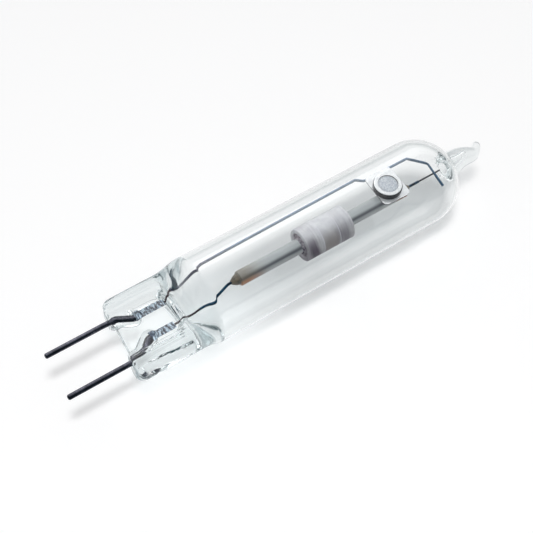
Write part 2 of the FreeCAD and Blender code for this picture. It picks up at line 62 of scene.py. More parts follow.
def srgb(red, green, blue):
    """A colour of 0 to 255 screen values as a linear colour with alpha."""
    linear = []
    for value in (red, green, blue):
        value /= 255
        linear.append(value / 12.92 if value <= 0.04045 else ((value + 0.055) / 1.055) ** 2.4)
    return (*linear, 1.0)


def rgb(colour):
    """A colour with full alpha, from the three or four numbers that it has."""
    return (*tuple(colour)[:3], 1.0)


def shade(colour, share):
    """A colour made darker or lighter by a share, up to white."""
    return tuple(min(1.0, channel * share) for channel in colour[:3])


def length_property(name, description, millimetres):
    """A length that the sidebar shows in the scene's unit."""
    return bpy.props.FloatProperty(
        name=name, description=description, default=millimetres * MM, unit="LENGTH", precision=5)


def colour_property(name, description, colour):
    """A colour that the sidebar shows as a swatch."""
    return bpy.props.FloatVectorProperty(
        name=name, description=description, default=colour[:3], size=3, min=0, max=1, subtype="COLOR")


class LampGlassSettings(bpy.types.PropertyGroup):
    tube_radius: length_property("Tube radius", "Outer radius of the quartz tube", BULB_HIGH[2] / MM)
    wall: length_property("Wall", "Thickness of the blown wall", 0.35)
    bead_radius: length_property("Bead radius", "Radius of the two thick beads of the pinch", 2.0)
    bead_offset: length_property("Bead offset", "Distance of each bead from the lamp's axis", 5.9)
    web: length_property("Web", "Thickness of the pressed web between the beads", 1.7)
    rib_radius: length_property("Rib radius", "Radius of the glass rib over each contact pin", 1.5)
    tint: colour_property("Quartz tint", "Colour that thick quartz takes on", (0.54, 0.64, 0.65))
    tint_density: bpy.props.FloatProperty(
        name="Tint density", description="How quickly the tint builds up with depth", default=75.0)


class LampMetalSettings(bpy.types.PropertyGroup):
    pin: colour_property("Contact pins", "Dull drawn molybdenum", srgb(92, 92, 102))
    foil: colour_property("Foils", "Crinkled molybdenum ribbon", srgb(206, 222, 236))
    wire: colour_property("Frame wire", "Drawn wire after heating", srgb(84, 112, 138))
    niobium: colour_property("Niobium", "Feedthrough with its blue heat tint", srgb(30, 74, 98))
    getter: colour_property("Getter sheet", "Bright plated steel", srgb(246, 246, 247))


class LampCeramicSettings(bpy.types.PropertyGroup):
    burner: colour_property("Burner", "Sintered alumina of the arc tube", srgb(232, 231, 233))
    band: colour_property("Burner band", "Darker bands over the plugs' ends", srgb(96, 80, 96))
    capillary: colour_property("Capillary", "Alumina of the thin tubes", srgb(188, 192, 192))
    frit: colour_property("Frit", "Brown sealing frit", srgb(118, 106, 90))


class LampStageSettings(bpy.types.PropertyGroup):
    floor: colour_property("Floor", "Colour of the white floor", (0.86, 0.86, 0.86))
    lens: bpy.props.FloatProperty(name="Lens", description="Focal length in millimetres", default=87.8)
    key_power: bpy.props.FloatProperty(
        name="Key light", description="Power of the large soft lamp in watts", default=2.3)


# Shader trees

# Sockets of a Mix node that blends colours
MIX_FACTOR, MIX_FIRST, MIX_SECOND, MIX_RESULT = 0, 6, 7, 2


class Value:
    """A socket of a shader tree that takes part in plain arithmetic."""

    def __init__(self, finish, socket):
        self.finish = finish
        self.socket = socket

    def maths(self, operation, *values, clamp=False):
        return self.finish.node("ShaderNodeMath", {"operation": operation, "use_clamp": clamp},
                                dict(enumerate(values)))

    def __add__(self, other):
        return self.maths("ADD", self, other)

    def __sub__(self, other):
        return self.maths("SUBTRACT", self, other)

    def __rsub__(self, other):
        return self.maths("SUBTRACT", other, self)

    def __mul__(self, other):
        return self.maths("MULTIPLY", self, other)

    def __truediv__(self, other):
        return self.maths("DIVIDE", self, other)

    def __rtruediv__(self, other):
        return self.maths("DIVIDE", other, self)

    def __abs__(self):
        return self.maths("ABSOLUTE", self)

    __radd__ = __add__
    __rmul__ = __mul__

    def most(self, other):
        return self.maths("MAXIMUM", self, other)

    def least(self, other):
        return self.maths("MINIMUM", self, other)

    def above(self, limit):
        """1 where the value is larger than the limit, otherwise 0."""
        return self.maths("GREATER_THAN", self, limit)

    def clamped(self):
        return self.maths("ADD", self, 0, clamp=True)

    def ramp(self, low, high):
        """0 below low, 1 above high, smooth between; low may be the larger one."""
        return self.finish.node(
            "ShaderNodeMapRange", {"interpolation_type": "SMOOTHSTEP"},
            {"Value": self, "From Min": low, "From Max": high, "To Min": 0.0, "To Max": 1.0})

    def hill(self, centre, width):
        """1 at centre, falling smoothly to 0 at width from it."""
        return abs(self - centre).ramp(width, 0.0)


class Finish:
    """A node tree under construction, for a material or the world."""

    def __init__(self, owner):
        owner.use_nodes = True
        self.owner = owner
        self.tree = owner.node_tree
        self.tree.nodes.clear()

    def node(self, kind, settings=None, inputs=None, output=0):
        """Adds a node: its settings first, then the values or links of its sockets."""
        node = self.tree.nodes.new(kind)
        for name, value in (settings or {}).items():
            if name == "stops":
                ramp = node.color_ramp
                while len(ramp.elements) < len(value):
                    ramp.elements.new(1.0)
                for element, (position, colour) in zip(ramp.elements, value):
                    element.position = position
                    element.color = colour
            else:
                setattr(node, name, value)
        for name, value in (inputs or {}).items():
            socket = node.inputs[name]
            if isinstance(value, Value):
                self.tree.links.new(value.socket, socket)
            else:
                socket.default_value = value
        return Value(self, node.outputs[output])

    def parts(self, vector):
        """The x, y and z of a vector."""
        split = self.node("ShaderNodeSeparateXYZ", inputs={0: vector}).socket.node
        return tuple(Value(self, split.outputs[i]) for i in range(3))

    def place(self):
        """Object coordinates in millimetres."""
        coordinates = self.node("ShaderNodeTexCoord", output="Object")
        return self.node("ShaderNodeVectorMath", {"operation": "SCALE"}, {0: coordinates, "Scale": 1 / MM})

    def light_path(self, *names):
        """What the Light Path node says of a ray, one value for each name."""
        path = self.node("ShaderNodeLightPath").socket.node
        return tuple(Value(self, path.outputs[name]) for name in names)

    def stretched(self, vector, scale):
        return self.node("ShaderNodeVectorMath", {"operation": "MULTIPLY"}, {0: vector, 1: scale})

    def noise(self, vector, scale, detail=3.0, roughness=0.55):
        return self.node("ShaderNodeTexNoise", inputs={
            "Vector": vector, "Scale": scale, "Detail": detail, "Roughness": roughness})

    def cells(self, vector, scale, feature="F1"):
        return self.node("ShaderNodeTexVoronoi", {"feature": feature}, {"Vector": vector, "Scale": scale})

    def mix(self, factor, first, second):
        """A blend of two colours, each one a value or plain numbers."""
        node = self.tree.nodes.new("ShaderNodeMix")
        node.data_type = "RGBA"
        for index, value in ((MIX_FACTOR, factor), (MIX_FIRST, first), (MIX_SECOND, second)):
            if isinstance(value, Value):
                self.tree.links.new(value.socket, node.inputs[index])
            else:
                node.inputs[index].default_value = value if index == MIX_FACTOR else rgb(value)
        return Value(self, node.outputs[MIX_RESULT])

    def bump(self, height, strength, distance):
        """A bumpy normal; the distance is in millimetres."""
        return self.node("ShaderNodeBump", inputs={
            "Strength": strength, "Distance": distance * MM, "Height": height})

    def surface(self, **inputs):
        """A Principled shader, with its sockets named as keywords."""
        return self.node("ShaderNodeBsdfPrincipled", inputs={
            name.replace("_", " "): value for name, value in inputs.items()})

    def output(self, shader, volume=None):
        """Ends the tree, and returns the material or the world that it belongs to."""
        of_world = isinstance(self.owner, bpy.types.World)
        node = self.tree.nodes.new("ShaderNodeOutputWorld" if of_world else "ShaderNodeOutputMaterial")
        self.tree.links.new(shader.socket, node.inputs["Surface"])
        if volume is not None:
            self.tree.links.new(volume.socket, node.inputs["Volume"])
        return self.owner


def new_finish(name):
    return Finish(bpy.data.materials.new(name))


def dress(node_name, material):
    """Gives a CAD node its finish."""
    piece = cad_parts[node_name]
    piece.data.materials.clear()
    piece.data.materials.append(material)
    # The bulb spreads the light inside it, so that sealed pieces cast no shadow of their own
    piece.visible_shadow = node_name.startswith("contact_pin")


# Finishes

QUARTZ_INDEX = 1.458
# Glossy bounces after which a ray that is caught in the wall goes straight on
CAUGHT_BOUNCES = 2.5
# Runs along the lamp over which a look sets in, in millimetres
JAW_MARKS_RUN = (14.0, 10.5)
DIMMER_GLASS_RUN = (16.0, 34.0)
BLUE_WIRE_RUN = (15, 27)
LOWER_FRIT_RUN = (28.0, 22.8)
UPPER_FRIT_RUN = (53.0, 55.5)
# The way that the lamp's lower near side faces, in y and z
UNDERSIDE = (-0.83, -0.56)


def underside(y, z):
    """How far a place lies out from the axis on the lower near side, in millimetres."""
    return z * UNDERSIDE[1] + y * UNDERSIDE[0]


def quartz_finish(settings):
    """Clear quartz: faint ripples from the flame and the jaws, and a tint that grows with depth."""
    finish = new_finish("flame polished quartz")
    vector = finish.place()
    x = finish.parts(vector)[0]
    ripples = finish.noise(finish.stretched(vector, (0.3, 0.6, 0.6)), 0.4, 1.0)
    pressed = finish.noise(finish.stretched(vector, (0.5, 1.0, 1.0)), 1.3, 2.0) * x.ramp(*JAW_MARKS_RUN)
    normal = finish.bump(ripples * 0.12 + pressed * 0.6, 0.3, 0.12)
    cloud = finish.noise(vector, 0.25)
    colour = finish.mix(cloud, (0.975, 0.98, 0.98), (0.95, 0.957, 0.957))
    glass = finish.surface(
        Base_Color=colour, Roughness=cloud * 0.015, Normal=normal,
        Transmission_Weight=1.0, IOR=QUARTZ_INDEX)
    # Shadow rays, and rays that are caught in the wall, go straight on and lose a little light
    pale = finish.node("ShaderNodeBsdfTransparent", inputs={"Color": (0.94, 0.95, 0.955, 1.0)})
    dim = finish.node("ShaderNodeBsdfTransparent", inputs={"Color": (0.74, 0.75, 0.755, 1.0)})
    clear = finish.node("ShaderNodeMixShader", inputs={0: x.ramp(*DIMMER_GLASS_RUN), 1: pale, 2: dim})
    shadow_ray, bounces = finish.light_path("Is Shadow Ray", "Glossy Depth")
    straight = shadow_ray.most(bounces.above(CAUGHT_BOUNCES))
    shader = finish.node("ShaderNodeMixShader", inputs={0: straight, 1: glass, 2: clear})
    tint = finish.node("ShaderNodeVolumeAbsorption", inputs={
        "Color": rgb(settings.tint), "Density": settings.tint_density})
    return finish.output(shader, tint)


def drawn_metal(name, colour, roughness, far_colour=None):
    """Drawn wire with fine lines along it and stains; a far colour takes over inside the bulb."""
    finish = new_finish(name)
    vector = finish.place()
    lines = finish.noise(finish.stretched(vector, (0.25, 9.0, 9.0)), 1.4, 4.0)
    stains = finish.noise(vector, 0.9, 4.0, 0.6)
    bare = stains.ramp(0.35, 0.68)
    dark = shade(colour, 0.55)
    tone = finish.mix(bare, dark, shade(colour, 1.25))
    tone = finish.mix(lines.clamped() * 0.35, tone, dark)
    if far_colour is not None:
        far_tone = finish.mix(bare, far_colour, shade(far_colour, 1.3))
        tone = finish.mix(finish.parts(vector)[0].ramp(*BLUE_WIRE_RUN), tone, far_tone)
    rough = (roughness + (stains - 0.5) * 0.2).clamped()
    return finish.output(finish.surface(
        Base_Color=tone, Metallic=1.0, Roughness=rough, Normal=finish.bump(lines, 0.25, 0.02)))


def foil_finish(colour):
    """Etched molybdenum ribbon: pale faces, torn edges, and creases darkened with painted shade."""
    finish = new_finish("crinkled molybdenum foil")
    vector = finish.place()
    creases = finish.cells(finish.stretched(vector, (1.3, 0.5, 1.0)), 1.6, "DISTANCE_TO_EDGE")
    stains = finish.noise(finish.stretched(vector, (1.8, 0.7, 1.0)), 1.3, 3.0)
    tone = finish.mix(stains.ramp(0.46, 0.56), colour, srgb(72, 84, 104))
    # Painted shade darkens the creases
    tone = finish.mix(creases.ramp(0.12, 0.02) * 0.8, tone, srgb(44, 48, 58))
    normal = finish.bump(creases.least(0.2) * 3 + stains, 0.6, 0.12)
    return finish.output(finish.surface(
        Base_Color=tone, Metallic=0.8, Roughness=0.3 + stains * 0.25, Normal=normal))


def niobium_finish(colour):
    """Niobium with the blue and teal tints that the sealing flame leaves."""
    finish = new_finish("heat tinted niobium")
    cloud = finish.noise(finish.place(), 0.8, 3.0)
    stops = ((0.0, srgb(30, 28, 36)), (0.35, srgb(26, 46, 66)), (0.6, colour), (1.0, srgb(44, 48, 74)))
    tints = finish.node("ShaderNodeValToRGB", {"stops": stops}, {"Fac": cloud.ramp(0.25, 0.75)})
    return finish.output(finish.surface(
        Base_Color=tints, Metallic=0.9, Roughness=0.28 + cloud * 0.2,
        Normal=finish.bump(cloud, 0.3, 0.03)))


def burner_finish(settings, low_x, high_x):
    """Translucent alumina with darker bands where the plugs' collars lie behind it, and painted shade on
    its lower near side.
    """
    finish = new_finish("sintered alumina burner")
    vector = finish.place()
    x, y, z = finish.parts(vector)
    third = (high_x - low_x) / 3
    low_joint, high_joint = low_x + third, high_x - third
    # The bands' edges waver, and run round the tube a little askew
    wobble = (finish.noise(vector, 1.1, 3.0) - 0.5) * 0.35
    askew = x + wobble + z * 0.25 - y * 0.17
    low_bands = askew.hill(low_joint - 1.1, 1.3) + askew.hill(low_joint - 2.3, 2.0) * 0.6
    high_band = askew.hill(high_joint + 1.6, 1.9) * 0.55
    # Painted shade: the lower near side is darker
    painted_shade_side = underside(y, z).ramp(-1.0, 2.2)
    # The bands fade towards the top, following the painted shade
    bands = (low_bands + high_band).clamped() * (0.12 + painted_shade_side * 0.88)
    joint = (x.hill(low_joint, 0.16) + x.hill(high_x - third * 0.95, 0.16)).clamped()
    grain = finish.noise(vector, 6.0, 4.0)
    cloud = finish.noise(vector, 0.7, 3.0)
    tone = finish.mix(cloud.ramp(0.3, 0.7), settings.burner, srgb(214, 212, 217))
    # Painted shade darkens the lower near side, most in the middle third, where it also stands for the
    # salts inside
    middle = x.ramp(low_joint - 0.2, low_joint + 0.4) * x.ramp(high_joint + 0.2, high_joint - 0.4)
    tone = finish.mix(painted_shade_side * (middle * 0.5 + 0.3), tone, srgb(150, 136, 132))
    # Turning marks ring both ends; painted shade makes them show more on the lower near side
    rings = finish.noise(finish.stretched(vector, (5.0, 0.15, 0.15)), 1.0, 2.0).ramp(0.45, 0.65)
    tone = finish.mix(rings * (1 - middle) * (0.15 + painted_shade_side * 0.3), tone, srgb(140, 130, 144))
    tone = finish.mix(bands * 0.95, tone, settings.band)
    tone = finish.mix(joint * 0.7, tone, srgb(232, 230, 236))
    tone = finish.mix(grain.ramp(0.62, 0.75) * 0.25, tone, srgb(120, 108, 104))
    normal = finish.bump(grain * 0.4 + joint * 1.5 + cloud, 0.35, 0.08)
    return finish.output(finish.surface(
        Base_Color=tone, Roughness=0.42 + grain * 0.15, Normal=normal,
        Subsurface_Weight=0.25, Subsurface_Radius=(1.0, 0.9, 0.9), Subsurface_Scale=0.6 * MM))


def capillary_finish(settings):
    """Thin alumina tube: a dark line of painted shade, where the coil inside also shows through, and
    painted light along its underside.
    """
    finish = new_finish("alumina capillary")
    vector = finish.place()
    x, y, z = finish.parts(vector)
    streak = finish.noise(finish.stretched(vector, (0.12, 1.4, 1.4)), 1.0, 4.0)
    grain = finish.noise(vector, 5.0, 3.0)
    tone = finish.mix(streak.ramp(0.35, 0.7) * 0.4, settings.capillary, srgb(150, 148, 156))
    # Painted shade: a dark line along the near side's upper half, which also stands for the coil in the
    # bore
    coil_and_painted_shade = z.hill(0.72, 0.42) * y.ramp(0.1, -0.4)
    tone = finish.mix(coil_and_painted_shade * 0.85, tone, srgb(84, 80, 88))
    under = underside(y, z)
    # Painted light from the floor: the underside is paler
    tone = finish.mix(under.ramp(0.75, 1.1) * 0.6, tone, srgb(220, 218, 218))
    # The brown frit in the bore shows through both ends; painted light makes it a lighter orange along the
    # underside
    frit = (x.ramp(*LOWER_FRIT_RUN) + x.ramp(*UPPER_FRIT_RUN)) * (0.62 + grain * 0.3)
    tone = finish.mix(frit, tone, settings.frit)
    tone = finish.mix(frit * under.ramp(0.45, 1.0), tone, srgb(206, 140, 96))
    return finish.output(finish.surface(
        Base_Color=tone, Roughness=0.32 + grain * 0.12, Normal=finish.bump(grain, 0.2, 0.03)))


def plug_finish(settings):
    """Sintered alumina disc with an uneven matt face."""
    finish = new_finish("sintered alumina plug")
    grain = finish.noise(finish.place(), 3.0, 5.0)
    tone = finish.mix(grain.ramp(0.35, 0.7), settings.band, srgb(196, 190, 194))
    return finish.output(finish.surface(
        Base_Color=tone, Roughness=0.5 + grain * 0.2, Normal=finish.bump(grain, 0.4, 0.05)))


def frit_finish(settings):
    """Melted brown frit, glossy, with painted light, a lighter orange, on its underside."""
    finish = new_finish("melted sealing frit")
    vector = finish.place()
    cloud = finish.noise(vector, 1.6, 4.0)
    tone = finish.mix(cloud.ramp(0.35, 0.7), settings.frit, srgb(70, 66, 60))
    # Painted light: a lighter orange on the underside
    tone = finish.mix(finish.parts(vector)[2].ramp(-0.1, -0.7) * 0.8, tone, srgb(178, 98, 46))
    return finish.output(finish.surface(
        Base_Color=tone, Roughness=0.25 + cloud * 0.2, Normal=finish.bump(cloud, 0.4, 0.08)))


def salts_finish():
    """Condensed halide salts, a yellow-brown crust."""
    finish = new_finish("condensed salts")
    vector = finish.place()
    lumps = finish.cells(vector, 4.0)
    cloud = finish.noise(vector, 2.0, 4.0)
    tone = finish.mix(cloud, srgb(196, 170, 120), srgb(128, 92, 60))
    return finish.output(finish.surface(
        Base_Color=tone, Roughness=0.55 + cloud * 0.2, Normal=finish.bump(lumps, 0.8, 0.1)))


def getter_sheet_finish(colour):
    """Bright plated sheet, with painted shade, a near black purple, on the cup's wall."""
    finish = new_finish("plated getter sheet")
    vector = finish.place()
    brushed = finish.noise(finish.stretched(vector, (6.0, 0.6, 1.0)), 1.2, 4.0)
    stains = finish.noise(vector, 0.8, 3.0)
    tone = finish.mix(brushed.ramp(0.4, 0.7) * 0.3, colour, srgb(186, 186, 194))
    tone = finish.mix(stains.ramp(0.58, 0.75) * 0.2, tone, srgb(176, 170, 182))
    # Painted shade: the wall, where the surface doesn't face up, is made near black purple
    level = finish.parts(finish.node("ShaderNodeTexCoord", output="Normal"))[2]
    tone = finish.mix(level.ramp(0.85, 0.7), tone, srgb(24, 16, 28))
    return finish.output(finish.surface(
        Base_Color=tone, Metallic=0.5, Roughness=0.2 + brushed * 0.1,
        Normal=finish.bump(brushed, 0.15, 0.02)))


def powder_finish():
    """Pressed metal powder: a fine salt and pepper grain."""
    finish = new_finish("pressed getter powder")
    vector = finish.place()
    fine = finish.cells(vector, 7.0)
    coarse = finish.noise(vector, 4.0, 5.0, 0.7)
    tone = finish.mix(coarse.ramp(0.35, 0.65), srgb(196, 202, 214), srgb(248, 250, 253))
    speck = finish.cells(vector, 4.5).ramp(0.3, 0.12)
    tone = finish.mix(speck * 0.55, tone, srgb(112, 114, 128))
    return finish.output(finish.surface(
        Base_Color=tone, Metallic=0.35, Roughness=0.55 + coarse * 0.2,
        Normal=finish.bump(fine * 0.6 + coarse, 0.8, 0.12)))


# Geometry

def fade(low, high, value):
    """0 at low, 1 at high, smooth between; low may be the larger one."""
    t = np.clip((value - low) / (high - low), 0.0, 1.0)
    return t * t * (3 - 2 * t)


def rounded_most(first, second, radius):
    """The larger of two heights, with a rounded valley where they meet."""
    h = np.clip(0.5 + 0.5 * (first - second) / radius, 0.0, 1.0)
    return second + (first - second) * h + radius * h * (1 - h)


def distance_to_route(x, y, route):
    """Distance in plan from each point to a run of straight pieces."""
    nearest = np.full(np.broadcast(x, y).shape, 1e9)
    for (x0, y0), (x1, y1) in zip(route, route[1:]):
        run = (x1 - x0) ** 2 + (y1 - y0) ** 2
        t = np.clip(((x - x0) * (x1 - x0) + (y - y0) * (y1 - y0)) / run, 0.0, 1.0)
        nearest = np.minimum(nearest, np.hypot(x - x0 - t * (x1 - x0), y - y0 - t * (y1 - y0)))
    return nearest


# The glass is set out in millimetres. A rib of glass follows each pin's route in plan
PIN_Y = 4.25
PIN_ROUTES = (
    ((-2.0, PIN_Y), (0.0, PIN_Y), (2.3, 4.17), (4.8, 2.65)),
    ((-2.0, -PIN_Y), (0.0, -PIN_Y), (2.3, -4.17), (4.8, -2.05)),
)
# Fine marks that the jaws left on the beads
JAW_LINES = (
    ((1.9, 6.6), (4.5, 7.1), (7.5, 7.2), (11.6, 7.0)),
    ((1.9, 6.0), (4.5, 5.7), (11.3, 5.4)),
    ((1.0, -3.5), (3.8, -3.9), (9.6, -3.9)),
    ((0.4, -4.6), (10.3, -4.9)),
    ((0.2, -5.3), (10.3, -5.5)),
    ((-0.1, -6.6), (2.2, -6.2), (9.0, -6.0)),
)
JAW_LINE_DEPTH = 0.1
JAW_LINE_WIDTH = 0.12
# The pressed pocket between the beads, with the thin web as its floor
POCKET_END = 10.6
POCKET_HALF_WIDTH = 4.1
POCKET_CORNER = 2.4
WEB_INSET = 0.3
RIB_FILLET = 0.22
BEAD_FILLET = 0.3
# The pinch's end face leans, and stands back between the ribs
END_X = 0.15
END_SLANT = math.tan(math.radians(7.7))
END_SETBACK = 0.5
PINCH_EDGE = 0.7
BEAD_CORNER = 1.9
# Where the flat pinch starts to swell, where it has become the round tube, and where that ends
SHOULDER_START = 10.9
TUBE_START = 15.2
DOME_CENTRE = 58.5
# The exhaust tip: distance along the lamp, sideways shift of its hook, radius
TIP_OUTLINE = (
    (65.383, 0.0, 2.98), (65.705, 0.0, 2.53), (66.35, 0.0, 2.28), (67.65, 0.2, 2.0), (69.15, 0.24, 1.76),
    (70.75, -0.04, 1.46), (71.6, -0.21, 1.15), (72.3, 0.2, 1.1), (72.85, 0.53, 0.89), (73.25, 0.64, 0.5),
    (73.39, 0.66, 0.2),
)
HOOK_ANGLE = math.radians(34)
# The sealed space: a flat slot in the pinch that widens to the round tube
SLOT_START = 11.7
SLOT_END = 15.6
SLOT_HALF_WIDTH = 3.7
SLOT_HALF_HEIGHT = 0.5
SLOT_EDGE = 0.3
# The exhaust bore: distance along the lamp, sideways shift, radius
BORE_MOUTH_ANGLE = math.radians(17)
BORE_MOUTH_RADIUS = 1.85
BORE_OUTLINE = (
    (64.95, 0.0, 1.15), (65.6, 0.03, 0.8), (67.2, 0.12, 0.62), (68.6, 0.3, 0.42),
    (69.4, 0.42, 0.3), (69.75, 0.45, 0.12),
)
# How far apart the pinch's rings are, and the points in a ring of the outside and of the sealed space
RING_STEP = 0.14
OUTER_COUNT = 256
INNER_COUNT = 160


def pinch_height(x, y, inset, glass):
    """Half the pinch's thickness at a place in plan, with its end rounded by the inset."""
    bead_radius, offset = glass.bead_radius / MM, glass.bead_offset / MM
    reach = np.abs(y)
    beads = np.sqrt(np.maximum((bead_radius - inset) ** 2 - (reach - offset) ** 2, 0.0))
    corner_x = np.maximum(x - (POCKET_END - POCKET_CORNER), 0.0)
    corner_y = np.maximum(reach - (POCKET_HALF_WIDTH - POCKET_CORNER), 0.0)
    out_of_pocket = fade(-0.5, 0.35, np.hypot(corner_x, corner_y) - POCKET_CORNER)
    web_inset = min(inset, WEB_INSET)
    web = glass.web / MM / 2 - web_inset
    rib = glass.rib_radius / MM - web_inset
    # Beyond the beads' middles there is no web: it goes far below them
    floor = np.where(reach > offset, -5.0, web + (bead_radius - web) * out_of_pocket)
    for route in PIN_ROUTES:
        away = distance_to_route(x, y, route)
        ridge = np.sqrt(np.maximum(rib ** 2 - away ** 2, 0.0)) - np.where(away > rib, 1.0, 0.0)
        floor = rounded_most(ridge, floor, RIB_FILLET)
    inner = np.maximum(rounded_most(beads, floor, BEAD_FILLET), beads)
    height = np.where(reach > offset, beads, inner)
    for line in JAW_LINES:
        groove = np.exp(-(distance_to_route(x, y, line) / JAW_LINE_WIDTH) ** 2)
        height = height - JAW_LINE_DEPTH * groove
    return np.maximum(height, 0.0)


def spline_rows(points, steps):
    """A smooth run through rows of numbers, for a profile given at a few places."""
    points = np.array(points, float)
    padded = np.vstack([2 * points[0] - points[1], points, 2 * points[-1] - points[-2]])
    rows = []
    for i in range(len(points) - 1):
        a, b, c, d = padded[i:i + 4]
        for t in np.arange(steps) / steps:
            rows.append(0.5 * (2 * b + (c - a) * t + (2 * a - 5 * b + 4 * c - d) * t ** 2
                               + (3 * b - a - 3 * c + d) * t ** 3))
    rows.append(points[-1])
    return np.array(rows)


def edge_inset(radius, depth):
    """How far a rounded edge stands in, at a depth from where it starts."""
    return radius - math.sqrt(max(radius ** 2 - max(radius - depth, 0.0) ** 2, 0.0))


def ring(x, y, z):
    """One ring of points; x may be a single number."""
    return np.stack([np.broadcast_to(x, y.shape), y, z], 1)


def tip_rings(rows, across, up):
    """Round rings along the hooked line of the exhaust tip."""
    return [ring(x, radius * across + shift * math.cos(HOOK_ANGLE),
                 radius * up + shift * math.sin(HOOK_ANGLE)) for x, shift, radius in rows]


def outer_rings(glass, count):
    """Rings of the outer surface from the pinch's end face to the exhaust tip."""
    angle = np.arange(count) * 2 * math.pi / count
    across, up = np.cos(angle), np.sin(angle)
    upper_or_lower = np.sign(np.round(up, 9))
    half_width = glass.bead_offset / MM + glass.bead_radius / MM
    radius = glass.tube_radius / MM
    rings = []
    edge = [PINCH_EDGE * (1 - math.cos(math.radians(turn))) for turn in np.arange(0, 91, 11.25)]
    for station in (*edge, *np.arange(PINCH_EDGE + RING_STEP, TUBE_START, RING_STEP), TUBE_START):
        inset = edge_inset(PINCH_EDGE, station)
        roundness = float(fade(SHOULDER_START, TUBE_START, station))
        y = ((half_width - inset) * (1 - roundness) + radius * roundness) * across
        setback = END_SETBACK * fade(3.15, 2.85, np.abs(y)) * float(fade(2.4, 0.6, station))
        slant = (END_X + (y + PIN_Y) * END_SLANT) * float(fade(9.6, 0.5, station))
        # The pinch's plan is set out at its own width, so that its beads keep their form in the shoulder
        plan_y = (half_width - inset) * across
        over = np.maximum(np.abs(plan_y) - (half_width - BEAD_CORNER), 0.0)
        corner = BEAD_CORNER - np.sqrt(np.maximum(BEAD_CORNER ** 2 - over ** 2, 0.0))
        x = station + setback + slant + corner * float(fade(5.0, 0.6, station))
        height = pinch_height(x, plan_y, inset, glass)
        z = (height * (1 - roundness) + radius * np.abs(up) * roundness) * upper_or_lower
        if not rings:
            rings.append(ring(x, y, np.zeros(count)))
        rings.append(ring(x, y, z))
    for x in np.linspace(TUBE_START, DOME_CENTRE, 9)[1:]:
        rings.append(ring(x, radius * across, radius * up))
    flare_angle = math.acos((TIP_OUTLINE[0][0] - DOME_CENTRE) / radius)
    for turn in np.linspace(math.pi / 2, flare_angle, 30)[1:-1]:
        wide = radius * math.sin(turn)
        rings.append(ring(DOME_CENTRE + radius * math.cos(turn), wide * across, wide * up))
    return rings + tip_rings(spline_rows(TIP_OUTLINE, 5), across, up)


def inner_rings(glass, count):
    """Rings of the sealed space, from the slot at the pinch to the closed exhaust bore."""
    angle = np.arange(count) * 2 * math.pi / count
    across, up = np.cos(angle), np.sin(angle)
    squared_up = np.sign(np.round(up, 9)) * np.abs(up) ** 0.5
    radius = (glass.tube_radius - glass.wall) / MM
    length = SLOT_END - SLOT_START
    rings = []
    for station in (0.0, 0.06, 0.16, SLOT_EDGE, *np.arange(0.45, length + 0.01, 0.15)):
        inset = edge_inset(SLOT_EDGE, station)
        roundness = float(fade(0.0, length, station))
        slot = 1 - roundness
        y = (SLOT_HALF_WIDTH - inset) * across * slot + radius * across * roundness
        z = (SLOT_HALF_HEIGHT - inset * 0.9) * squared_up * slot + radius * up * roundness
        x = SLOT_START + station + 0.09 * y * slot
        if not rings:
            rings.append(ring(x, y, np.zeros(count)))
        rings.append(ring(x, y, z))
    rings.append(ring(DOME_CENTRE, radius * across, radius * up))
    for turn in np.linspace(math.pi / 2, BORE_MOUTH_ANGLE, 26)[1:]:
        # Towards the bore the dome's inside is a little lumpy, where the exhaust tube was melted off
        swell = fade(math.radians(38), math.radians(20), turn)
        lumps = 1 + 0.07 * swell * (np.sin(5 * angle + 0.6) + 0.6 * np.sin(8 * angle + 2.1))
        wide = radius * math.sin(turn) * lumps
        x = DOME_CENTRE + radius * math.cos(turn) + 0.1 * swell * np.sin(6 * angle)
        rings.append(ring(x, wide * across, wide * up))
    mouth_x = DOME_CENTRE + radius * math.cos(BORE_MOUTH_ANGLE) + 0.02
    bore = spline_rows(((mouth_x, 0.0, BORE_MOUTH_RADIUS), *BORE_OUTLINE), 4)
    return rings + tip_rings(bore[1:], across, up)


def shell_faces(rings, count, first, inward):
    """Quads between the rings and a cap on the last; the first ring is a flat seam."""
    faces = []
    for i in range(len(rings) - 1):
        for k in range(count):
            a = first + i * count + k
            b = first + i * count + (k + 1) % count
            faces.append((a, b, b + count, a + count))
    last = first + (len(rings) - 1) * count
    faces.append(tuple(last + k for k in range(count)))
    return [face[::-1] for face in faces] if inward else faces


def glass_mesh(glass):
    """The whole bulb as one mesh: outer surface and the wall of the sealed space."""
    vertices, faces = [], []
    for make_rings, count, inward in ((outer_rings, OUTER_COUNT, False), (inner_rings, INNER_COUNT, True)):
        rings = make_rings(glass, count)
        faces += shell_faces(rings, count, sum(len(part) for part in vertices), inward)
        vertices.append(np.concatenate(rings))
    mesh = bpy.data.meshes.new("quartz_bulb")
    mesh.from_pydata((np.concatenate(vertices) * MM).tolist(), [], faces)
    return mesh


def join_glass(mesh, bubbles):
    """Closes the glass mesh at its flat seams and adds the bubbles to it."""
    build = bmesh.new()
    build.from_mesh(mesh)
    bmesh.ops.remove_doubles(build, verts=build.verts, dist=1e-7)
    bmesh.ops.dissolve_degenerate(build, edges=build.edges, dist=1e-8)
    build.from_mesh(bubbles)
    build.to_mesh(mesh)
    build.free()
    mesh.shade_smooth()


def add_piece(name, mesh, material, slot, *nodes):
    """Adds a finished piece that stands for its CAD nodes."""
    piece = bpy.data.objects.new(name, mesh)
    bpy.context.scene.collection.objects.link(piece)
    mesh.materials.clear()
    mesh.materials.append(material)
    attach(piece, "root")
    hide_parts(*nodes)
    piece.visible_shadow = "outer_bulb" in nodes


# Geometry Nodes

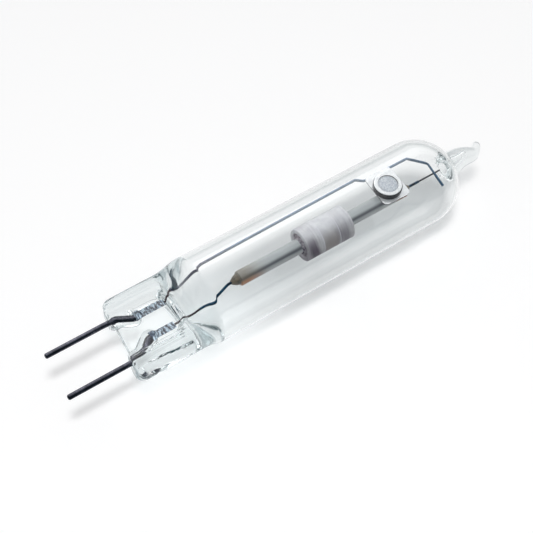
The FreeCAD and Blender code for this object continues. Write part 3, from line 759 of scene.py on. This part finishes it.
class Weave:
    """A Geometry Nodes tree under construction."""

    def __init__(self, name, inputs):
        self.tree = bpy.data.node_groups.new(name, "GeometryNodeTree")
        self.sockets = {}
        for label, kind in inputs:
            item = self.tree.interface.new_socket(name=label, in_out="INPUT", socket_type=kind)
            self.sockets[label] = item.identifier
        self.tree.interface.new_socket(name="Geometry", in_out="OUTPUT", socket_type="NodeSocketGeometry")
        self.entry = self.tree.nodes.new("NodeGroupInput")

    def given(self, label):
        return self.entry.outputs[label]

    def node(self, kind, settings=None, inputs=None):
        node = self.tree.nodes.new(kind)
        for name, value in (settings or {}).items():
            setattr(node, name, value)
        for name, value in (inputs or {}).items():
            if isinstance(value, bpy.types.NodeSocket):
                self.tree.links.new(value, node.inputs[name])
            else:
                node.inputs[name].default_value = value
        return node

    def along_lamp(self, geometry, start):
        """Turns what is built round Z to lie round the lamp's axis, from a place on it, and smooths it."""
        place = self.node("ShaderNodeCombineXYZ", inputs={0: start})
        turned = self.node("GeometryNodeTransform", inputs={
            "Geometry": geometry, "Translation": place.outputs[0], "Rotation": (0.0, math.pi / 2, 0.0)})
        return self.node("GeometryNodeSetShadeSmooth", inputs={"Geometry": turned.outputs[0]}).outputs[0]

    def finish(self, geometry, material):
        """Ends the tree with real geometry in its material."""
        real = self.node("GeometryNodeRealizeInstances", inputs={"Geometry": geometry})
        painted = self.node("GeometryNodeSetMaterial", inputs={
            "Geometry": real.outputs[0], "Material": material})
        last = self.tree.nodes.new("NodeGroupOutput")
        self.tree.links.new(painted.outputs[0], last.inputs[0])


def grown_mesh(name, weave, values):
    """Runs a tree on an empty mesh and returns the result as a plain mesh."""
    carrier = bpy.data.objects.new(name + "_carrier", bpy.data.meshes.new(name + "_carrier"))
    bpy.context.scene.collection.objects.link(carrier)
    modifier = carrier.modifiers.new("grow", "NODES")
    modifier.node_group = weave.tree
    for label, value in values.items():
        modifier[weave.sockets[label]] = value
    graph = bpy.context.evaluated_depsgraph_get()
    mesh = bpy.data.meshes.new_from_object(carrier.evaluated_get(graph))
    mesh.name = name
    carrier.modifiers.clear()
    bpy.data.objects.remove(carrier)
    return mesh


def winding_tree(material):
    """A wire wound round the lamp's axis."""
    weave = Weave("wound wire", (
        ("Start", "NodeSocketFloat"), ("Length", "NodeSocketFloat"), ("Turns", "NodeSocketFloat"),
        ("Mean radius", "NodeSocketFloat"), ("Wire radius", "NodeSocketFloat")))
    mean_radius = weave.given("Mean radius")
    spiral = weave.node("GeometryNodeCurveSpiral", inputs={
        "Resolution": 20, "Rotations": weave.given("Turns"), "Start Radius": mean_radius,
        "End Radius": mean_radius, "Height": weave.given("Length")})
    profile = weave.node("GeometryNodeCurvePrimitiveCircle", {"mode": "RADIUS"}, {
        "Resolution": 8, "Radius": weave.given("Wire radius")})
    wire = weave.node("GeometryNodeCurveToMesh", inputs={
        "Curve": spiral.outputs[0], "Profile Curve": profile.outputs[0], "Fill Caps": True})
    weave.finish(weave.along_lamp(wire.outputs[0], weave.given("Start")), material)
    return weave


def bubble_tree(material):
    """Small round bubbles in a ring about the lamp's axis, each of its own size."""
    weave = Weave("ring of bubbles", (
        ("Place", "NodeSocketFloat"), ("Ring radius", "NodeSocketFloat"), ("Count", "NodeSocketInt"),
        ("Bubble radius", "NodeSocketFloat"), ("Seed", "NodeSocketInt")))
    circle = weave.node("GeometryNodeMeshCircle", inputs={
        "Vertices": weave.given("Count"), "Radius": weave.given("Ring radius")})
    bubble = weave.node("GeometryNodeMeshUVSphere", inputs={
        "Segments": 16, "Rings": 8, "Radius": weave.given("Bubble radius")})
    # A random value's sockets 0 and 1 are its limits as a vector, 2 and 3 as a number
    shift = weave.node("FunctionNodeRandomValue", {"data_type": "FLOAT_VECTOR"}, {
        0: (-0.35 * MM, -0.35 * MM, -0.3 * MM), 1: (0.35 * MM, 0.35 * MM, 0.3 * MM),
        "Seed": weave.given("Seed")})
    size = weave.node("FunctionNodeRandomValue", {"data_type": "FLOAT"}, {
        2: 0.55, 3: 1.15, "Seed": weave.given("Seed")})
    moved = weave.node("GeometryNodeSetPosition", inputs={
        "Geometry": circle.outputs[0], "Offset": shift.outputs[0]})
    spread = weave.node("GeometryNodeInstanceOnPoints", inputs={
        "Points": moved.outputs[0], "Instance": bubble.outputs[0], "Scale": size.outputs[1]})
    smooth = weave.along_lamp(spread.outputs[0], weave.given("Place"))
    # A bubble is a hollow in the glass, so its faces point into it
    hollow = weave.node("GeometryNodeFlipFaces", inputs={"Mesh": smooth})
    weave.finish(hollow.outputs[0], material)
    return weave


# Stage

CAMERA_PLACE = Vector((-47.99, -108.69, 160.87)) * MM
CAMERA_AIM = Vector((27.766, -0.493, 0.0)) * MM
SENSOR_WIDTH = 36
# The key light and the floor are set out in metres
KEY_PLACE = Vector((-0.06, -0.13, 0.6))
KEY_AIM = Vector((0.03, 0.0, 0.0))
KEY_SIZE = 0.15
FLOOR_HALF_SIZE = 1.5
FLOOR_GLOW = 0.225
# Middle of the lamp, and how far from it the floor's dark side sets in, in millimetres
LAMP_MIDDLE_X = 28
DARK_FLOOR_RUN = (8.0, 40.0)


def point_at(item, target):
    """Turns a camera or lamp towards a place."""
    item.rotation_euler = (target - item.location).to_track_quat("-Z", "Y").to_euler()


def floor_finish(colour):
    """Matt white floor that the camera, glass and metal see as white, apart from the lamp's shadow."""
    finish = new_finish("white floor")
    vector = finish.place()
    x, y = finish.parts(vector)[:2]
    camera_ray, glossy_ray, through_ray = finish.light_path(
        "Is Camera Ray", "Is Glossy Ray", "Is Transmission Ray")
    # Glass and metal see the white end on the near side, where the room is dark
    dark = ((x - LAMP_MIDDLE_X) * NEAR_SIDE[0] + y * NEAR_SIDE[1]).ramp(*DARK_FLOOR_RUN) * (1 - camera_ray)
    tone = finish.mix(finish.noise(vector, 0.02, 2.0), colour, shade(colour, 0.985))
    tone = finish.mix(dark, tone, (0.1, 0.14, 0.155))
    matt = finish.node("ShaderNodeBsdfDiffuse", inputs={"Color": tone})
    glow = finish.node("ShaderNodeEmission", inputs={
        "Color": finish.mix(dark, (1, 1, 1), (0.1, 0.1, 0.1)), "Strength": FLOOR_GLOW})
    glowing = finish.node("ShaderNodeAddShader", inputs={0: matt, 1: glow})
    seen = (camera_ray + glossy_ray + through_ray).clamped()
    return finish.output(finish.node("ShaderNodeMixShader", inputs={0: seen, 1: matt, 2: glowing}))


def studio_world():
    """Pale sky with a dark near side, a dim horizon, and a bright strip and patch over the lamp."""
    finish = Finish(bpy.data.worlds.new("studio"))
    along, aside, up = finish.parts(finish.node("ShaderNodeTexCoord", output="Generated"))
    camera_ray, diffuse_ray = finish.light_path("Is Camera Ray", "Is Diffuse Ray")
    near = (along * NEAR_SIDE[0] + aside * NEAR_SIDE[1]).ramp(-0.15, 0.35)
    sky = finish.mix(near * up.ramp(0.97, 0.85), (0.93, 0.95, 0.96), (0.05, 0.09, 0.11))
    sky = finish.mix(up.ramp(0.26, 0.12) * 0.85, sky, (0.12, 0.17, 0.19))
    # The strip and the patch run along the lamp, behind it
    tilt = aside / up.most(0.01)
    strip = tilt.ramp(0.5, 0.62) * tilt.ramp(1.9, 1.5) * up.ramp(0.2, 0.3) * along.hill(0.2, 0.9)
    sky = finish.mix(strip, sky, (2.7, 2.7, 2.7))
    patch = tilt.hill(0.32, 0.2) * up.ramp(0.5, 0.6) * along.hill(0.36, 0.3)
    sky = finish.mix(patch, sky, (1.5, 1.5, 1.5))
    # The camera sees plain white, and matt surfaces get a soft light from above
    seen = finish.mix(camera_ray, sky, (1.0, 1.0, 1.0))
    soft = finish.mix(up.ramp(0.0, 0.9), (0.06, 0.063, 0.066), (0.36, 0.36, 0.365))
    return finish.output(finish.node("ShaderNodeBackground", inputs={
        "Color": finish.mix(diffuse_ray, seen, soft), "Strength": 1.0}))


# Operators

class LAMP_OT_stage(bpy.types.Operator):
    """Adds the camera, the white floor, the key light and the world"""
    bl_idname = "lamp.stage"
    bl_label = "Stage"

    def execute(self, context):
        settings = context.scene.lamp_stage
        scene = context.scene
        scene.view_settings.view_transform = "Standard"
        self.add_camera(scene, settings)
        self.add_floor(scene, settings)
        self.add_key_light(scene, settings)
        scene.world = studio_world()
        return {"FINISHED"}

    def add_camera(self, scene, settings):
        camera = bpy.data.objects.new("camera", bpy.data.cameras.new("camera"))
        scene.collection.objects.link(camera)
        camera.location = CAMERA_PLACE
        point_at(camera, CAMERA_AIM)
        camera.data.lens = settings.lens
        camera.data.sensor_width = SENSOR_WIDTH
        camera.data.clip_start = 5 * MM
        scene.camera = camera

    def add_key_light(self, scene, settings):
        light = bpy.data.lights.new("key", "AREA")
        light.shape = "SQUARE"
        light.size = KEY_SIZE
        light.energy = settings.key_power
        holder = bpy.data.objects.new("key", light)
        scene.collection.objects.link(holder)
        holder.location = KEY_PLACE
        holder.visible_glossy = False
        holder.visible_transmission = False
        point_at(holder, KEY_AIM)

    def add_floor(self, scene, settings):
        mesh = bpy.data.meshes.new("floor")
        corners = [(x * FLOOR_HALF_SIZE, y * FLOOR_HALF_SIZE, FLOOR_Z)
                   for x, y in ((-1, -1), (1, -1), (1, 1), (-1, 1))]
        mesh.from_pydata(corners, [], [(0, 1, 2, 3)])
        mesh.materials.append(floor_finish(settings.floor))
        floor = bpy.data.objects.new("floor", mesh)
        scene.collection.objects.link(floor)


class LAMP_OT_bulb(bpy.types.Operator):
    """Adds the quartz bulb with its pinch, dome and exhaust tip"""
    bl_idname = "lamp.bulb"
    bl_label = "Quartz bulb"

    def execute(self, context):
        glass = context.scene.lamp_glass
        quartz = quartz_finish(glass)
        mesh = glass_mesh(glass)
        bubbles = grown_mesh("tip_bubbles", bubble_tree(quartz), {
            "Place": 64.95 * MM, "Ring radius": 2.1 * MM, "Count": 13,
            "Bubble radius": 0.2 * MM, "Seed": 5})
        join_glass(mesh, bubbles)
        add_piece("quartz_bulb", mesh, quartz, "quartz", "outer_bulb")
        return {"FINISHED"}


class LAMP_OT_sealed_metal(bpy.types.Operator):
    """Dresses the contact pins and the foils in the pinch"""
    bl_idname = "lamp.sealed_metal"
    bl_label = "Pins and foils"

    def execute(self, context):
        metal = context.scene.lamp_metal
        pins = drawn_metal("dull molybdenum", metal.pin, 0.15)
        foils = foil_finish(rgb(metal.foil))
        for name in ("contact_pin_a", "contact_pin_b"):
            dress(name, pins)
        for name in ("pinch_foil_a", "pinch_foil_b"):
            dress(name, foils)
        return {"FINISHED"}


class LAMP_OT_wires(bpy.types.Operator):
    """Dresses the leads, the frame wire and the feedthroughs"""
    bl_idname = "lamp.wires"
    bl_label = "Wires"

    def execute(self, context):
        metal = context.scene.lamp_metal
        wire = drawn_metal("heated frame wire", srgb(72, 70, 96), 0.32, far_colour=metal.wire)
        lead = drawn_metal("browned lead", srgb(84, 66, 72), 0.4)
        dress("frame_wire", wire)
        dress("top_wire", drawn_metal("blackened wire", srgb(50, 50, 62), 0.36))
        for name in ("inner_lead_a", "inner_lead_b"):
            dress(name, lead)
        niobium = niobium_finish(rgb(metal.niobium))
        for name in ("feedthrough_lower", "feedthrough_upper"):
            dress(name, niobium)
        return {"FINISHED"}


class LAMP_OT_burner(bpy.types.Operator):
    """Dresses the ceramic arc tube, its plugs, capillaries and frit seals"""
    bl_idname = "lamp.burner"
    bl_label = "Ceramic burner"

    def execute(self, context):
        ceramic = context.scene.lamp_ceramic
        low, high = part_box("arc_tube_wall")
        dress("arc_tube_wall", burner_finish(ceramic, low[0] / MM, high[0] / MM))
        plugs = plug_finish(ceramic)
        capillaries = capillary_finish(ceramic)
        frit = frit_finish(ceramic)
        for end in ("lower", "upper"):
            dress("end_plug_" + end, plugs)
            dress("capillary_" + end, capillaries)
            dress("frit_seal_" + end, frit)
        dress("halide_dose", salts_finish())
        return {"FINISHED"}


class LAMP_OT_electrodes(bpy.types.Operator):
    """Winds the coils inside the burner and dresses the electrodes"""
    bl_idname = "lamp.electrodes"
    bl_label = "Electrodes"

    def execute(self, context):
        tungsten = drawn_metal("bare tungsten", srgb(120, 120, 122), 0.4)
        weave = winding_tree(tungsten)
        for end in ("lower", "upper"):
            dress("electrode_" + end, tungsten)
            for kind, wire_radius in (("spacer_coil_", 0.06 * MM), ("electrode_coil_", 0.08 * MM)):
                node = kind + end
                low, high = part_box(node)
                run = high[0] - low[0] - 2 * wire_radius
                mesh = grown_mesh(node + "_wire", weave, {
                    "Start": low[0] + wire_radius, "Length": run,
                    "Turns": float(round(run / (2 * wire_radius))),
                    "Mean radius": (high[2] - low[2]) / 2 - wire_radius, "Wire radius": wire_radius})
                add_piece(node + "_wire", mesh, tungsten, "tungsten", node)
        return {"FINISHED"}


class LAMP_OT_getter(bpy.types.Operator):
    """Dresses the getter's plate, cup and powder"""
    bl_idname = "lamp.getter"
    bl_label = "Getter"

    def execute(self, context):
        sheet = getter_sheet_finish(rgb(context.scene.lamp_metal.getter))
        dress("getter_plate", sheet)
        dress("getter_cup", sheet)
        dress("getter_powder", powder_finish())
        return {"FINISHED"}


class LAMP_PT_panel(bpy.types.Panel):
    """Lists the steps that dress the lamp"""
    bl_label = "Lamp"
    bl_space_type = "VIEW_3D"
    bl_region_type = "UI"
    bl_category = "Lamp"

    def draw(self, context):
        for step in STEPS:
            self.layout.operator(step.bl_idname)


STEPS = (LAMP_OT_stage, LAMP_OT_bulb, LAMP_OT_sealed_metal, LAMP_OT_wires, LAMP_OT_burner,
         LAMP_OT_electrodes, LAMP_OT_getter)
SETTINGS = {
    "lamp_glass": LampGlassSettings, "lamp_metal": LampMetalSettings,
    "lamp_ceramic": LampCeramicSettings, "lamp_stage": LampStageSettings,
}


def register():
    for group in SETTINGS.values():
        bpy.utils.register_class(group)
    for name, group in SETTINGS.items():
        setattr(bpy.types.Scene, name, bpy.props.PointerProperty(type=group))
    for step in STEPS:
        bpy.utils.register_class(step)
    bpy.utils.register_class(LAMP_PT_panel)


def unregister():
    bpy.utils.unregister_class(LAMP_PT_panel)
    for step in reversed(STEPS):
        bpy.utils.unregister_class(step)
    for name, group in SETTINGS.items():
        delattr(bpy.types.Scene, name)
        bpy.utils.unregister_class(group)


def main():
    register()
    bpy.ops.lamp.stage()
    bpy.ops.lamp.bulb()
    bpy.ops.lamp.sealed_metal()
    bpy.ops.lamp.wires()
    bpy.ops.lamp.burner()
    bpy.ops.lamp.electrodes()
    bpy.ops.lamp.getter()


if __name__ == "__main__":
    main()
